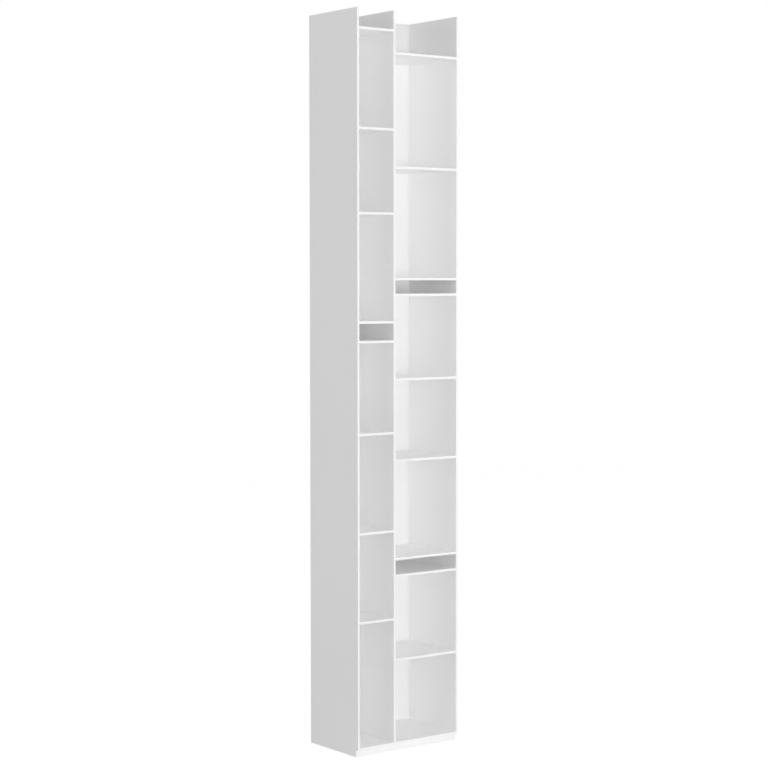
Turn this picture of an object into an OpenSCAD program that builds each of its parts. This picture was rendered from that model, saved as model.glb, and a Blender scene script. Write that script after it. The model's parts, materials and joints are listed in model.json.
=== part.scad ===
// Tall open bookcase of thin lacquered boards, in two columns side by side.
// The narrow column is on the left and the wide one on the right, and each
// has its own uneven run of fixed shelves.
// X runs along the front, Y runs from the front to the back and Z is up.
// The origin is the middle of the footprint, on the floor.

/* [Case] */
// Width over both side panels
case_w = 370; // [340:5:480]
// Depth of the side panels, from front edge to rear edge
case_d = 240; // [200:5:320]
// Thickness of the two side panels
side_t = 7; // [6:0.5:19]
// Thickness of the divider between the columns
divider_t = 7; // [7:0.5:19]
// Clear width of the narrow column
narrow_w = 123; // [90:1:190]

/* [Base] */
// Gap under the side panels while the feet are wound in
foot_gap = 1; // [0.5:0.5:5]
// Height of the plinth boards
plinth_h = 20; // [18:1:60]
// Thickness of the plinth boards
plinth_t = 7; // [6:0.5:16]
// How far the front plinth stands back, which is also the toe notch's depth
toe_depth = 11; // [5:1:60]
// Thickness of the bottom panel
bottom_t = 7; // [6:0.5:19]

/* [Back] */
// Thickness of the back panels
back_t = 6; // [3:0.5:10]
// Distance from the case's rear edges in to the back panels
back_inset = 3; // [1:0.5:20]
// How deep the back panels sit in the uprights
back_groove = 2; // [1:0.25:2.5]

/* [Shelves] */
// Thickness of every shelf
shelf_t = 7; // [6:0.5:12]

/* [Narrow column, clear heights from the bottom up] */
// Clear height of the lowest narrow bay
narrow_bay_1 = 361; // [300:0.5:460]
// Clear height of the second narrow bay
narrow_bay_2 = 252; // [190:0.5:340]
// Clear height of the third narrow bay
narrow_bay_3 = 280.5; // [220:0.5:370]
// Clear height of the fourth narrow bay
narrow_bay_4 = 260; // [200:0.5:350]
// Clear height of the thin slot in the narrow column
narrow_bay_5 = 49; // [20:0.5:120]
// Clear height of the sixth narrow bay
narrow_bay_6 = 307; // [250:0.5:400]
// Clear height of the seventh narrow bay
narrow_bay_7 = 235.5; // [175:0.5:330]
// Clear height of the narrow bay below the topmost shelf
narrow_bay_8 = 277; // [215:0.5:370]
// Height of the case above the topmost narrow shelf, which sets the case's height
narrow_rim = 54; // [44:0.5:200]

/* [Wide column, clear heights from the bottom up] */
// Clear height of the lowest wide bay
wide_bay_1 = 239; // [150:0.5:300]
// Clear height of the second wide bay
wide_bay_2 = 242; // [150:0.5:300]
// Clear height of the lower thin slot in the wide column
wide_bay_3 = 42.5; // [20:0.5:100]
// Clear height of the fourth wide bay
wide_bay_4 = 281.5; // [150:0.5:340]
// Clear height of the fifth wide bay
wide_bay_5 = 230; // [150:0.5:290]
// Clear height of the sixth wide bay
wide_bay_6 = 239.5; // [150:0.5:300]
// Clear height of the upper thin slot in the wide column
wide_bay_7 = 39; // [20:0.5:95]
// Clear height of the eighth wide bay
wide_bay_8 = 316; // [150:0.5:375]
// Clear height of the wide bay below the topmost shelf
wide_bay_9 = 321; // [150:0.5:380]

/* [Dowel pins] */
// Diameter of the steel dowel pins
pin_d = 4; // [3:0.25:4.5]
// Length of a pin inside an upright
pin_in_upright = 3; // [2:0.25:3.2]
// Length of a pin inside a shelf or a board's end
pin_in_board = 12; // [6:1:20]
// Distance from a shelf's front and rear edges to its pins
pin_setback = 35; // [15:1:80]

/* [Wall brackets] */
// Length of the leg that lies against the back panel
bracket_wall_leg = 24; // [18:1:40]
// Length of the leg that lies against the upright
bracket_side_leg = 20; // [14:1:60]
// Height of a bracket
bracket_h = 24; // [18:1:26]
// Sheet thickness of a bracket
bracket_t = 2.5; // [1.5:0.25:4]
// Distance from the case's top edge down to a bracket
bracket_drop = 15; // [5:1:18]
// Diameter of the hole for the wall screw, through the bracket and the back panel
wall_hole_d = 5.5; // [4:0.25:8]
// Diameter of the screws that hold a bracket to its upright
bracket_screw_d = 3; // [2.5:0.25:4]

/* [Levelling feet] */
// Width of the block that holds a foot, along the front
block_w = 40; // [34:1:60]
// Depth of the block that holds a foot, front to back
block_d = 32; // [28:1:60]
// Diameter of a foot's pad on the floor
pad_d = 26; // [18:1:28]
// Height of a foot's pad
pad_h = 4; // [3:0.25:6]
// Diameter of the threaded stud
stud_d = 8; // [6:0.5:9]
// Width across the flats of the stud's hexagon
collar_af = 11; // [10:0.5:14]
// Height of the stud's hexagon
collar_h = 3; // [2:0.25:4]
// Outer diameter of the metal insert that the stud turns in
insert_d = 10.5; // [10:0.25:11]
// Diameter of the screws that hold a block under the bottom panel
block_screw_d = 3.5; // [3:0.25:4]

/* [Hidden] */
$fn = 48;

// Clearances
pin_fit = 0.05;
pin_end_gap = 0.3;
groove_fit = 0.1;
groove_end_gap = 0.2;
screw_fit = 0.1;
pilot_fit = 0.05;
insert_fit = 0.05;
thread_fit = 0.1;
rest_gap = 0.3;
collar_gap = 0.7;
cut = 1;

// Sum of the first n clear heights
function sum_of(bays, n) = n == 0 ? 0 : bays[n - 1] + sum_of(bays, n - 1);

// Underside of shelf n, counted from the bottom
function shelf_z(bays, n) = floor_z + sum_of(bays, n) + (n - 1) * shelf_t;

// The case's faces, where the case is as high as the narrow column and its rim
left_x = -case_w / 2;
right_x = case_w / 2;
front_y = -case_d / 2;
rear_y = case_d / 2;
bottom_z = foot_gap + plinth_h;
floor_z = bottom_z + bottom_t;

// The columns, between the uprights' faces
narrow_x0 = left_x + side_t;
narrow_x1 = narrow_x0 + narrow_w;
wide_x0 = narrow_x1 + divider_t;
wide_x1 = right_x - side_t;

// The back panels' front face is where the shelves end
back_y = rear_y - back_inset - back_t;
pin_ys = [front_y + pin_setback, back_y - pin_setback];

narrow_bays = [
    narrow_bay_1, narrow_bay_2, narrow_bay_3, narrow_bay_4,
    narrow_bay_5, narrow_bay_6, narrow_bay_7, narrow_bay_8
];
wide_bays = [
    wide_bay_1, wide_bay_2, wide_bay_3, wide_bay_4, wide_bay_5,
    wide_bay_6, wide_bay_7, wide_bay_8, wide_bay_9
];
case_h = shelf_z(narrow_bays, len(narrow_bays)) + shelf_t + narrow_rim;

// Bracket screws
bracket_screw_in_board = 4;
bracket_screw_pitch = 13;
bracket_screw_rim = 1.1;
bracket_screw_head_d = bracket_screw_d + 2 * bracket_screw_rim;
bracket_screw_head_h = 1.6;
bracket_screw_y = back_y - bracket_t - (bracket_side_leg - bracket_t) / 2;
bracket_z = case_h - bracket_drop - bracket_h / 2;
wall_hole_x = bracket_t + (bracket_wall_leg - bracket_t) / 2;

// Levelling feet: the pad stands on the floor, the stud turns in it and
// screws up into the insert in the block under the bottom panel
pad_rim_h = 1.5;
pad_top_d = 14;
journal_d = 5.5;
journal_floor = 1.5;
collar_z = pad_h + rest_gap;
block_z = collar_z + collar_h + collar_gap;
stud_top_z = bottom_z - rest_gap;
insert_flange_rim = 1.75;
insert_flange_d = insert_d + 2 * insert_flange_rim;
insert_flange_t = 1.2;
block_screw_edge = 6;
block_screw_x = block_w / 2 - block_screw_edge;
block_screw_y = block_d / 2 - block_screw_edge;
block_screw_in_board = 4.5;
block_screw_head_d = block_screw_d * 1.9;
block_screw_head_h = 2;
foot_xs = [narrow_x0 + block_w / 2, wide_x1 - block_w / 2];
foot_ys = [front_y + toe_depth + plinth_t + block_d / 2, rear_y - plinth_t - block_d / 2];

// A rod along X
module rod_x(x, y, z, length, radius) {
    translate([x, y, z])
        rotate([0, 90, 0])
            cylinder(h = length, r = radius);
}

// The pins at both ends of one board, or their holes with the fits given
module end_pins(x0, x1, ys, z, fit = 0, gap = 0) {
    pin_length = pin_in_upright + pin_in_board + 2 * gap;
    for (y = ys) {
        rod_x(x0 - pin_in_upright - gap, y, z, pin_length, pin_d / 2 + fit);
        rod_x(x1 - pin_in_board - gap, y, z, pin_length, pin_d / 2 + fit);
    }
}

// The pins of every shelf in a column
module shelf_pins(x0, x1, bays, fit = 0, gap = 0) {
    for (n = [1 : len(bays)])
        end_pins(x0, x1, pin_ys, shelf_z(bays, n) + shelf_t / 2, fit, gap);
}

module narrow_pins(fit = 0, gap = 0) {
    shelf_pins(narrow_x0, narrow_x1, narrow_bays, fit, gap);
}

module wide_pins(fit = 0, gap = 0) {
    shelf_pins(wide_x0, wide_x1, wide_bays, fit, gap);
}

// The pins of the bottom panel, both plinths and the divider's foot, where the
// bottom panel's pins run between the two screws of each foot's block
module case_pins(fit = 0, gap = 0) {
    end_pins(narrow_x0, wide_x1, foot_ys, bottom_z + bottom_t / 2, fit, gap);
    plinth_ys = [front_y + toe_depth + plinth_t / 2, rear_y - plinth_t / 2];
    end_pins(narrow_x0, wide_x1, plinth_ys, foot_gap + plinth_h / 2, fit, gap);
    for (y = pin_ys)
        translate([narrow_x1 + divider_t / 2, y, floor_z - pin_in_upright - gap])
            cylinder(h = pin_in_upright + pin_in_board + 2 * gap, r = pin_d / 2 + fit);
}

// The groove that a back panel's edge sits in, cut into the face at x
module back_slot(x) {
    translate([x - back_groove - groove_end_gap, back_y - groove_fit, floor_z])
        cube([2 * (back_groove + groove_end_gap), back_t + 2 * groove_fit, case_h]);
}

// One bracket screw's place on the upright's face at x, with its axis along +X
module at_bracket_screws(x) {
    for (side = [-1, 1])
        translate([x, bracket_screw_y, bracket_z + side * bracket_screw_pitch / 2])
            rotate([0, 90, 0])
                children();
}

// The blind pilot holes in an upright whose face is at x
module bracket_pilots(x) {
    at_bracket_screws(x)
        translate([0, 0, -bracket_screw_in_board - pin_end_gap])
            cylinder(h = bracket_screw_in_board + pin_end_gap + cut, d = bracket_screw_d + 2 * pilot_fit);
}

// A side panel's board with its toe notch, its outer face at x
module side_board(x) {
    difference() {
        translate([x, front_y, foot_gap])
            cube([side_t, case_d, case_h - foot_gap]);
        translate([x - cut, front_y - cut, foot_gap - cut])
            cube([side_t + 2 * cut, toe_depth + cut, plinth_h + cut]);
    }
}

module left_side_panel() {
    color("whitesmoke")
        difference() {
            side_board(left_x);
            back_slot(narrow_x0);
            narrow_pins(pin_fit, pin_end_gap);
            case_pins(pin_fit, pin_end_gap);
            bracket_pilots(narrow_x0);
        }
}

module right_side_panel() {
    color("whitesmoke")
        difference() {
            side_board(wide_x1);
            back_slot(wide_x1);
            wide_pins(pin_fit, pin_end_gap);
            case_pins(pin_fit, pin_end_gap);
        }
}

module divider_panel() {
    color("whitesmoke")
        difference() {
            translate([narrow_x1, front_y, floor_z])
                cube([divider_t, case_d, case_h - floor_z]);
            back_slot(narrow_x1);
            back_slot(wide_x0);
            narrow_pins(pin_fit, pin_end_gap);
            wide_pins(pin_fit, pin_end_gap);
            case_pins(pin_fit, pin_end_gap);
            bracket_pilots(wide_x0);
        }
}

module bottom_panel() {
    color("whitesmoke")
        difference() {
            translate([narrow_x0, front_y, bottom_z])
                cube([wide_x1 - narrow_x0, case_d, bottom_t]);
            case_pins(pin_fit, pin_end_gap);
            block_screw_set(pilot_fit, pin_end_gap);
        }
}

// A plinth board with its front face at y
module plinth_board(y) {
    color("white")
        difference() {
            translate([narrow_x0, y, foot_gap])
                cube([wide_x1 - narrow_x0, plinth_t, plinth_h]);
            case_pins(pin_fit, pin_end_gap);
        }
}

module front_plinth() {
    plinth_board(front_y + toe_depth);
}

module rear_plinth() {
    plinth_board(rear_y - plinth_t);
}

// A back panel across a column, drilled for the wall screw beside the upright's
// face at hole_x, in line with the bracket's own hole
module back_panel(x0, x1, hole_x) {
    color("snow")
        difference() {
            translate([x0 - back_groove, back_y, floor_z])
                cube([x1 - x0 + 2 * back_groove, back_t, case_h - floor_z]);
            translate([hole_x + wall_hole_x, back_y - cut, bracket_z])
                rotate([-90, 0, 0])
                    cylinder(h = back_t + 2 * cut, d = wall_hole_d);
        }
}

module narrow_back_panel() {
    back_panel(narrow_x0, narrow_x1, narrow_x0);
}

module wide_back_panel() {
    back_panel(wide_x0, wide_x1, wide_x0);
}

module shelf(x0, x1, bays, n) {
    difference() {
        translate([x0, front_y, shelf_z(bays, n)])
            cube([x1 - x0, back_y - front_y, shelf_t]);
        end_pins(x0, x1, pin_ys, shelf_z(bays, n) + shelf_t / 2, pin_fit, pin_end_gap);
    }
}

// Narrow shelf n, counted from the bottom
module narrow_shelf(n) {
    color("ghostwhite")
        shelf(narrow_x0, narrow_x1, narrow_bays, n);
}

// Wide shelf n, counted from the bottom
module wide_shelf(n) {
    color("ghostwhite")
        shelf(wide_x0, wide_x1, wide_bays, n);
}

module narrow_shelf_pins() {
    color("silver")
        narrow_pins();
}

module wide_shelf_pins() {
    color("silver")
        wide_pins();
}

module base_pins() {
    color("silver")
        case_pins();
}

// An angle bracket in the corner of an upright's face at x and the back panel
module wall_bracket(x) {
    color("gainsboro")
        difference() {
            translate([x, back_y - bracket_side_leg, bracket_z - bracket_h / 2])
                union() {
                    cube([bracket_t, bracket_side_leg, bracket_h]);
                    translate([0, bracket_side_leg - bracket_t, 0])
                        cube([bracket_wall_leg, bracket_t, bracket_h]);
                }
            translate([x + wall_hole_x, back_y - bracket_t - cut, bracket_z])
                rotate([-90, 0, 0])
                    cylinder(h = bracket_t + 2 * cut, d = wall_hole_d);
            at_bracket_screws(x)
                translate([0, 0, -cut])
                    cylinder(h = bracket_t + 2 * cut, d = bracket_screw_d + 2 * screw_fit);
        }
}

module narrow_wall_bracket() {
    wall_bracket(narrow_x0);
}

module wide_wall_bracket() {
    wall_bracket(wide_x0);
}

module bracket_screws() {
    color("darkgray")
        for (x = [narrow_x0, wide_x0])
            at_bracket_screws(x) {
                translate([0, 0, -bracket_screw_in_board])
                    cylinder(h = bracket_screw_in_board + bracket_t, d = bracket_screw_d);
                translate([0, 0, bracket_t])
                    cylinder(h = bracket_screw_head_h, d = bracket_screw_head_d);
            }
}

// The four feet's places
module at_feet() {
    for (x = foot_xs)
        for (y = foot_ys)
            translate([x, y, 0])
                children();
}

// A block's two screws, or their holes with the fits given
module block_screw_pair(fit = 0, gap = 0) {
    for (side = [-1, 1])
        translate([side * block_screw_x, side * block_screw_y, block_z]) {
            cylinder(
                h = bottom_z - block_z + block_screw_in_board + gap,
                d = block_screw_d + 2 * fit
            );
            cylinder(h = block_screw_head_h + gap, d = block_screw_head_d + 2 * fit);
        }
}

module block_screw_set(fit = 0, gap = 0) {
    at_feet()
        block_screw_pair(fit, gap);
}

// A threaded insert with its flange let into the block, solid when bored is false
module insert_body(fit = 0, bored = true) {
    difference() {
        union() {
            translate([0, 0, block_z])
                cylinder(h = bottom_z - block_z, d = insert_d + 2 * fit);
            translate([0, 0, block_z])
                cylinder(h = insert_flange_t + fit, d = insert_flange_d + 2 * fit);
        }
        if (bored)
            translate([0, 0, block_z - cut])
                cylinder(h = bottom_z - block_z + 2 * cut, d = stud_d + 2 * thread_fit);
    }
}

module foot_blocks() {
    color("burlywood")
        at_feet()
            difference() {
                translate([-block_w / 2, -block_d / 2, block_z])
                    cube([block_w, block_d, bottom_z - block_z]);
                insert_body(insert_fit, false);
                block_screw_pair(screw_fit, rest_gap);
            }
}

module foot_inserts() {
    color("goldenrod")
        at_feet()
            insert_body();
}

module block_screws() {
    color("darkgray")
        block_screw_set();
}

// Foot pad at column i of foot_xs and row j of foot_ys
module foot_pad(i, j) {
    color("dimgray")
        translate([foot_xs[i], foot_ys[j], 0])
            difference() {
                union() {
                    cylinder(h = pad_rim_h, d = pad_d);
                    translate([0, 0, pad_rim_h])
                        cylinder(h = pad_h - pad_rim_h, d1 = pad_d, d2 = pad_top_d);
                }
                translate([0, 0, journal_floor])
                    cylinder(h = pad_h, d = journal_d + 2 * thread_fit);
            }
}

// Stud of the same foot: journal in the pad, hexagon for a spanner, thread
module foot_stud(i, j) {
    color("lightsteelblue")
        translate([foot_xs[i], foot_ys[j], 0]) {
            translate([0, 0, journal_floor + rest_gap])
                cylinder(h = collar_z - journal_floor - rest_gap, d = journal_d);
            translate([0, 0, collar_z])
                cylinder(h = collar_h, d = collar_af / cos(30), $fn = 6);
            translate([0, 0, collar_z + collar_h])
                cylinder(h = stud_top_z - collar_z - collar_h, d = stud_d);
        }
}

left_side_panel();
right_side_panel();
divider_panel();
bottom_panel();
front_plinth();
rear_plinth();
narrow_back_panel();
wide_back_panel();
narrow_shelf(1);  // narrow_shelf_1
narrow_shelf(2);  // narrow_shelf_2
narrow_shelf(3);  // narrow_shelf_3
narrow_shelf(4);  // narrow_shelf_4
narrow_shelf(5);  // narrow_shelf_5
narrow_shelf(6);  // narrow_shelf_6
narrow_shelf(7);  // narrow_shelf_7
narrow_shelf(8);  // narrow_shelf_8
wide_shelf(1);  // wide_shelf_1
wide_shelf(2);  // wide_shelf_2
wide_shelf(3);  // wide_shelf_3
wide_shelf(4);  // wide_shelf_4
wide_shelf(5);  // wide_shelf_5
wide_shelf(6);  // wide_shelf_6
wide_shelf(7);  // wide_shelf_7
wide_shelf(8);  // wide_shelf_8
wide_shelf(9);  // wide_shelf_9
narrow_shelf_pins();
wide_shelf_pins();
base_pins();
narrow_wall_bracket();
wide_wall_bracket();
bracket_screws();
foot_blocks();
foot_inserts();
block_screws();
foot_pad(0, 0);  // foot_pad_front_left
foot_pad(1, 0);  // foot_pad_front_right
foot_pad(0, 1);  // foot_pad_rear_left
foot_pad(1, 1);  // foot_pad_rear_right
foot_stud(0, 0);  // foot_stud_front_left
foot_stud(1, 0);  // foot_stud_front_right
foot_stud(0, 1);  // foot_stud_rear_left
foot_stud(1, 1);  // foot_stud_rear_right
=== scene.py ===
# %% [markdown]
# # A tall white bookcase in two columns
# The real object is a slim bookcase of thin boards with a matt white lacquer. A narrow
# column stands on the left and a wide one on the right, and every shelf sits at a height
# of its own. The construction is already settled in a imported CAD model, so this lesson
# loads that model as a fixed frame and dresses it: each board is modelled again with
# softened arrises and drilled holes, and each finish becomes a material made of nodes.

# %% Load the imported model
import json
import math

import bpy
from mathutils import Euler, Matrix, Vector


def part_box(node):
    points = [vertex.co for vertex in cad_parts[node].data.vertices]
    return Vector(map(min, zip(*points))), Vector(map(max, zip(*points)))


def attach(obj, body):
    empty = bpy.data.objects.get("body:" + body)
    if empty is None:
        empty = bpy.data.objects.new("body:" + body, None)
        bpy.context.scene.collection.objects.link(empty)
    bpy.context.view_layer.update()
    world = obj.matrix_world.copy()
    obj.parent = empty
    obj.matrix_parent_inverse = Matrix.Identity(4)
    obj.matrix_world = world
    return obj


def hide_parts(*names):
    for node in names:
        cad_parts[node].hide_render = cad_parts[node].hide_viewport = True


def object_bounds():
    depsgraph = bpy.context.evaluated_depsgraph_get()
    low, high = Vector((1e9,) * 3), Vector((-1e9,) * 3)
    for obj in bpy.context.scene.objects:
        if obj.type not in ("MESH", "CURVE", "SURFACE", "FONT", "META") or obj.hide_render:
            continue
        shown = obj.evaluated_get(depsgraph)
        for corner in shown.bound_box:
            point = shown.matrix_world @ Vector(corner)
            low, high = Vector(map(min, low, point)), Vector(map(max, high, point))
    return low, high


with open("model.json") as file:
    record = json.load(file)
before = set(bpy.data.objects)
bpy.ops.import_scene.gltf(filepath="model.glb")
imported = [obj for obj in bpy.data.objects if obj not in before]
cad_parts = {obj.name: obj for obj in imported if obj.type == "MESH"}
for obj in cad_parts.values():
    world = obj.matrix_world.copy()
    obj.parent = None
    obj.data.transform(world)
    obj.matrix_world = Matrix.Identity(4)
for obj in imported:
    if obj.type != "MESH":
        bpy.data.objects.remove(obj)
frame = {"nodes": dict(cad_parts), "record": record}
cad_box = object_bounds()
record = frame["record"]
mm = 0.001
print("nodes in the frame:", len(frame["nodes"]))

# %% [markdown]
# ## Working by hand, in code
# Every operator in Blender acts on what is selected, and the loaded model arrives
# selected. So the first helper clears the selection and picks only the pieces named.
# The others go into edit mode with just those faces or edges selected that lie where we
# want them, because in a script they are found by their place and direction.

# %% Selection helpers
def pick(*pieces):
    """Select only these objects. The last one becomes the active object."""
    bpy.ops.object.select_all(action="DESELECT")
    for piece in pieces:
        piece.select_set(True)
    if pieces:
        bpy.context.view_layer.objects.active = pieces[-1]


def open_for_editing(piece, mode="FACE"):
    """Go into edit mode with nothing selected."""
    pick(piece)
    bpy.ops.object.mode_set(mode="EDIT")
    bpy.ops.mesh.select_mode(type=mode)
    bpy.ops.mesh.select_all(action="DESELECT")


def open_on_faces(piece, wanted):
    """Go into edit mode with the faces selected whose centre and normal are wanted."""
    open_for_editing(piece, "FACE")
    bpy.ops.object.mode_set(mode="OBJECT")
    for face in piece.data.polygons:
        face.select = wanted(face.center, face.normal)
    bpy.ops.object.mode_set(mode="EDIT")


def open_on_edges(piece, wanted):
    """Go into edit mode with the edges selected whose middle and direction are wanted."""
    open_for_editing(piece, "EDGE")
    bpy.ops.object.mode_set(mode="OBJECT")
    points = piece.data.vertices
    for edge in piece.data.edges:
        first, last = (points[index].co for index in edge.vertices)
        edge.select = wanted((first + last) / 2, (last - first).normalized())
    bpy.ops.object.mode_set(mode="EDIT")


def close_editing():
    """Go back to object mode."""
    bpy.ops.object.mode_set(mode="OBJECT")


# %% [markdown]
# ## A block with its place in its mesh
# All boards start as a block between two corners taken from the frame. The place and
# the size are applied to the mesh at once, because a finished piece keeps its object at
# the origin, and then a pattern on object coordinates lies still on it.

# %% Block and drum helpers
ROUND_SIDES = 48
SMALL_SIDES = 32


def block(name, low, high):
    """A cuboid between two corners."""
    pick()
    bpy.ops.mesh.primitive_cube_add(size=1, location=(low + high) / 2, scale=high - low)
    piece = bpy.context.object
    piece.name = piece.data.name = name
    bpy.ops.object.transform_apply(location=True, rotation=True, scale=True)
    return piece


def drum(name, radius, base, height, axis="Z", sides=ROUND_SIDES):
    """A cylinder that stands on base and runs along +X, +Y or +Z."""
    pick()
    turn = {"X": (0, math.pi / 2, 0), "Y": (-math.pi / 2, 0, 0), "Z": (0, 0, 0)}[axis]
    along = {"X": Vector((1, 0, 0)), "Y": Vector((0, 1, 0)), "Z": Vector((0, 0, 1))}[axis]
    bpy.ops.mesh.primitive_cylinder_add(
        vertices=sides, radius=radius, depth=height,
        location=base + along * height / 2, rotation=turn,
    )
    piece = bpy.context.object
    piece.name = piece.data.name = name
    bpy.ops.object.transform_apply(location=True, rotation=True, scale=True)
    return piece


# %% [markdown]
# ## Pulling, copying and joining
# A face that is extruded and moved makes a block into an L. What repeats is modelled once
# and copied, and each copy gets a mesh of its own, because every piece has to stand for a
# piece of the frame by itself.

# %% Shape and copy helpers
def pull_faces(piece, wanted, shift):
    """Extrude the faces that are wanted and move them by shift."""
    open_on_faces(piece, wanted)
    bpy.ops.mesh.extrude_region_move(TRANSFORM_OT_translate={"value": shift})
    close_editing()


def copy_of(piece, name, shift=Vector((0, 0, 0))):
    """A copy with a mesh of its own, moved by shift inside the mesh."""
    pick(piece)
    bpy.ops.object.duplicate(linked=False)
    twin = bpy.context.object
    twin.name = twin.data.name = name
    twin.data.transform(Matrix.Translation(shift))
    return twin


def join(name, pieces):
    """Several objects made into one."""
    pick(*pieces)
    bpy.ops.object.join()
    whole = bpy.context.object
    whole.name = whole.data.name = name
    return whole


# %% [markdown]
# ## Softened arrises
# No lacquered board has razor edges. The arris is eased with sandpaper before the lacquer
# goes on, and that thin rounding is what catches the light along every edge. A Bevel
# modifier would round all edges alike, so the edges are chosen by their place and
# bevelled in edit mode, with three segments. Ends that butt against another board are
# eased far less, so that the joint closes to the hairline seen on the real piece.

# %% Arris and shading helpers
ARRIS = 0.5 * mm
JOINT_ARRIS = 0.12 * mm
SMOOTH_BELOW = 35  # degrees between two faces
HAIR = 0.01 * mm  # an edge this near to a plane lies on it
MOSTLY = 0.9  # the share of a direction that has to lie along an axis


def ease(piece, radius, wanted, segments=3):
    """Bevel the edges that are wanted."""
    open_on_edges(piece, wanted)
    bpy.ops.mesh.bevel(offset=radius, segments=segments, profile=0.5, affect="EDGES")
    close_editing()


def shade(piece):
    """Smooth the roundings and keep the flat faces flat."""
    pick(piece)
    bpy.ops.object.shade_smooth_by_angle(angle=math.radians(SMOOTH_BELOW))
    modifier = piece.modifiers.new("flat faces first", "WEIGHTED_NORMAL")
    modifier.keep_sharp = True
    bpy.ops.object.modifier_apply(modifier=modifier.name)


def runs_along(direction, axis):
    """True for an edge that runs along axis 0, 1 or 2."""
    return abs(direction[axis]) > MOSTLY


def everywhere(middle, direction):
    """True for every edge."""
    return True


# %% [markdown]
# ## The drill
# The shelves hang on steel dowels that sit in blind holes, and the backs slide in
# grooves. Each hole could be placed by its measures, but the frame already knows where
# every dowel, screw and back lies. So copies of those pieces, made a hair fatter, are
# joined into one cutting tool, and a Boolean modifier bores the boards with it.

# %% Cutting helpers
SAME_POINT = 0.001 * mm  # points this near to each other are one
OVERRUN = 1 * mm  # how far a drill comes out on the other side


def weld_points(threshold=SAME_POINT):
    """In edit mode, select everything and merge the points that share a place."""
    bpy.ops.mesh.select_all(action="SELECT")
    bpy.ops.mesh.remove_doubles(threshold=threshold)


def fat_copy(node, play):
    """A closed, slightly fatter copy of a CAD node, used as a cutter."""
    cutter = copy_of(frame["nodes"][node], "cutter_" + node)
    cutter.parent = None
    open_for_editing(cutter, "VERT")
    weld_points()
    bpy.ops.mesh.normals_make_consistent(inside=False)
    bpy.ops.transform.shrink_fatten(value=play)
    close_editing()
    return cutter


def boolean(piece, other, operation):
    """Cut one solid from another, or make the two one. The other solid is kept."""
    pick(piece)
    modifier = piece.modifiers.new("boolean", "BOOLEAN")
    modifier.operation = operation
    modifier.solver = "EXACT"
    modifier.object = other
    bpy.ops.object.modifier_apply(modifier=modifier.name)


def bore(piece, *cutters):
    """Cut a piece with cutters that are kept for the next piece."""
    for cutter in cutters:
        boolean(piece, cutter, "DIFFERENCE")


# %% Make the drill and the groover
HOLE_PLAY = 0.05 * mm
GROOVE_PLAY = 0.1 * mm
GROOVE_END_PLAY = 0.2 * mm
OVERSHOOT = 10 * mm


def tell(*pieces):
    """Print how many faces each piece has."""
    for piece in pieces:
        print(piece.name, "faces:", len(piece.data.polygons))


def groove_cutter(node):
    """The space that a back panel's groove takes, open at the top."""
    low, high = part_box(node)
    play = Vector((GROOVE_END_PLAY, GROOVE_PLAY, 0))
    return block("cutter_groove", low - play, high + play + Vector((0, 0, OVERSHOOT)))


drilled = ("narrow_shelf_pins", "wide_shelf_pins", "base_pins", "bracket_screws", "block_screws")
drill = join("drill", [fat_copy(node, HOLE_PLAY) for node in drilled])
backs = ("narrow_back_panel", "wide_back_panel")
groover = join("groover", [groove_cutter(node) for node in backs])
tell(drill, groover)

# %% [markdown]
# ## Side panels
# A side panel is one board from the floor to the top, with a small toe notch cut out of
# its lower front corner. The notch could be sawn out with a Boolean, but the outline is
# simple enough to grow: the low block behind the notch comes first, its top face is
# pulled up to the full height, and the front face above the notch is pulled forward.
# The outline is the same on both sides, so the second panel is a copy of the first.

# %% Side panels
TOE_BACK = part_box("front_plinth")[0].y
TOE_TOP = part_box("bottom_panel")[0].z


def is_outline_edge(middle, direction):
    """Every edge of the panel's outline, and none that crosses a flat face."""
    on_seam_z = abs(middle.z - TOE_TOP) < HAIR and middle.y > TOE_BACK + mm
    on_seam_y = abs(middle.y - TOE_BACK) < HAIR and middle.z > TOE_TOP + mm
    return not on_seam_z and not on_seam_y


def is_front_above_toe(centre, normal):
    """The front face above the notch."""
    return normal.y < -MOSTLY and centre.z > TOE_TOP


def side_panel():
    """The left panel, grown from the low block behind the notch."""
    low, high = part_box("left_side_panel")
    panel = block("left_side", Vector((low.x, TOE_BACK, low.z)), Vector((high.x, high.y, TOE_TOP)))
    pull_faces(panel, lambda centre, normal: normal.z > MOSTLY, (0, 0, high.z - TOE_TOP))
    pull_faces(panel, is_front_above_toe, (0, low.y - TOE_BACK, 0))
    ease(panel, ARRIS, is_outline_edge)
    return panel


left_side = side_panel()
step_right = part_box("right_side_panel")[0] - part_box("left_side_panel")[0]
right_side = copy_of(left_side, "right_side", step_right)
for panel in (left_side, right_side):
    bore(panel, drill, groover)
    shade(panel)
tell(left_side, right_side)

# %% [markdown]
# ## Divider, bottom panel and plinths
# These boards are straight, so a block with its arrises eased is all they need. The
# divider stands on the bottom panel, and the bottom panel and the plinths fit between
# the side panels. Their long arrises are eased in full, and their ends just enough to
# show a hairline joint.

# %% Straight boards
def is_square_end(low, high, axis):
    """A test for the edges around both ends of a board that runs along one axis."""
    def wanted(middle, direction):
        at_end = min(abs(middle[axis] - low[axis]), abs(middle[axis] - high[axis]))
        return at_end < HAIR and not runs_along(direction, axis)
    return wanted


def straight_board(name, node, long_axis, *cutters):
    """A board between other boards: long arrises eased fully, the rest barely."""
    low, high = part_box(node)
    board = block(name, low, high)
    ease(board, ARRIS, lambda middle, direction: runs_along(direction, long_axis))
    ease(board, JOINT_ARRIS, is_square_end(low, high, long_axis), segments=1)
    bore(board, *cutters)
    shade(board)
    tell(board)
    return board


divider = straight_board("divider", "divider_panel", 2, drill, groover)
bottom = straight_board("bottom", "bottom_panel", 0, drill)
toe_board = straight_board("toe_board", "front_plinth", 0, drill)
rear_board = straight_board("rear_board", "rear_plinth", 0, drill)

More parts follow.
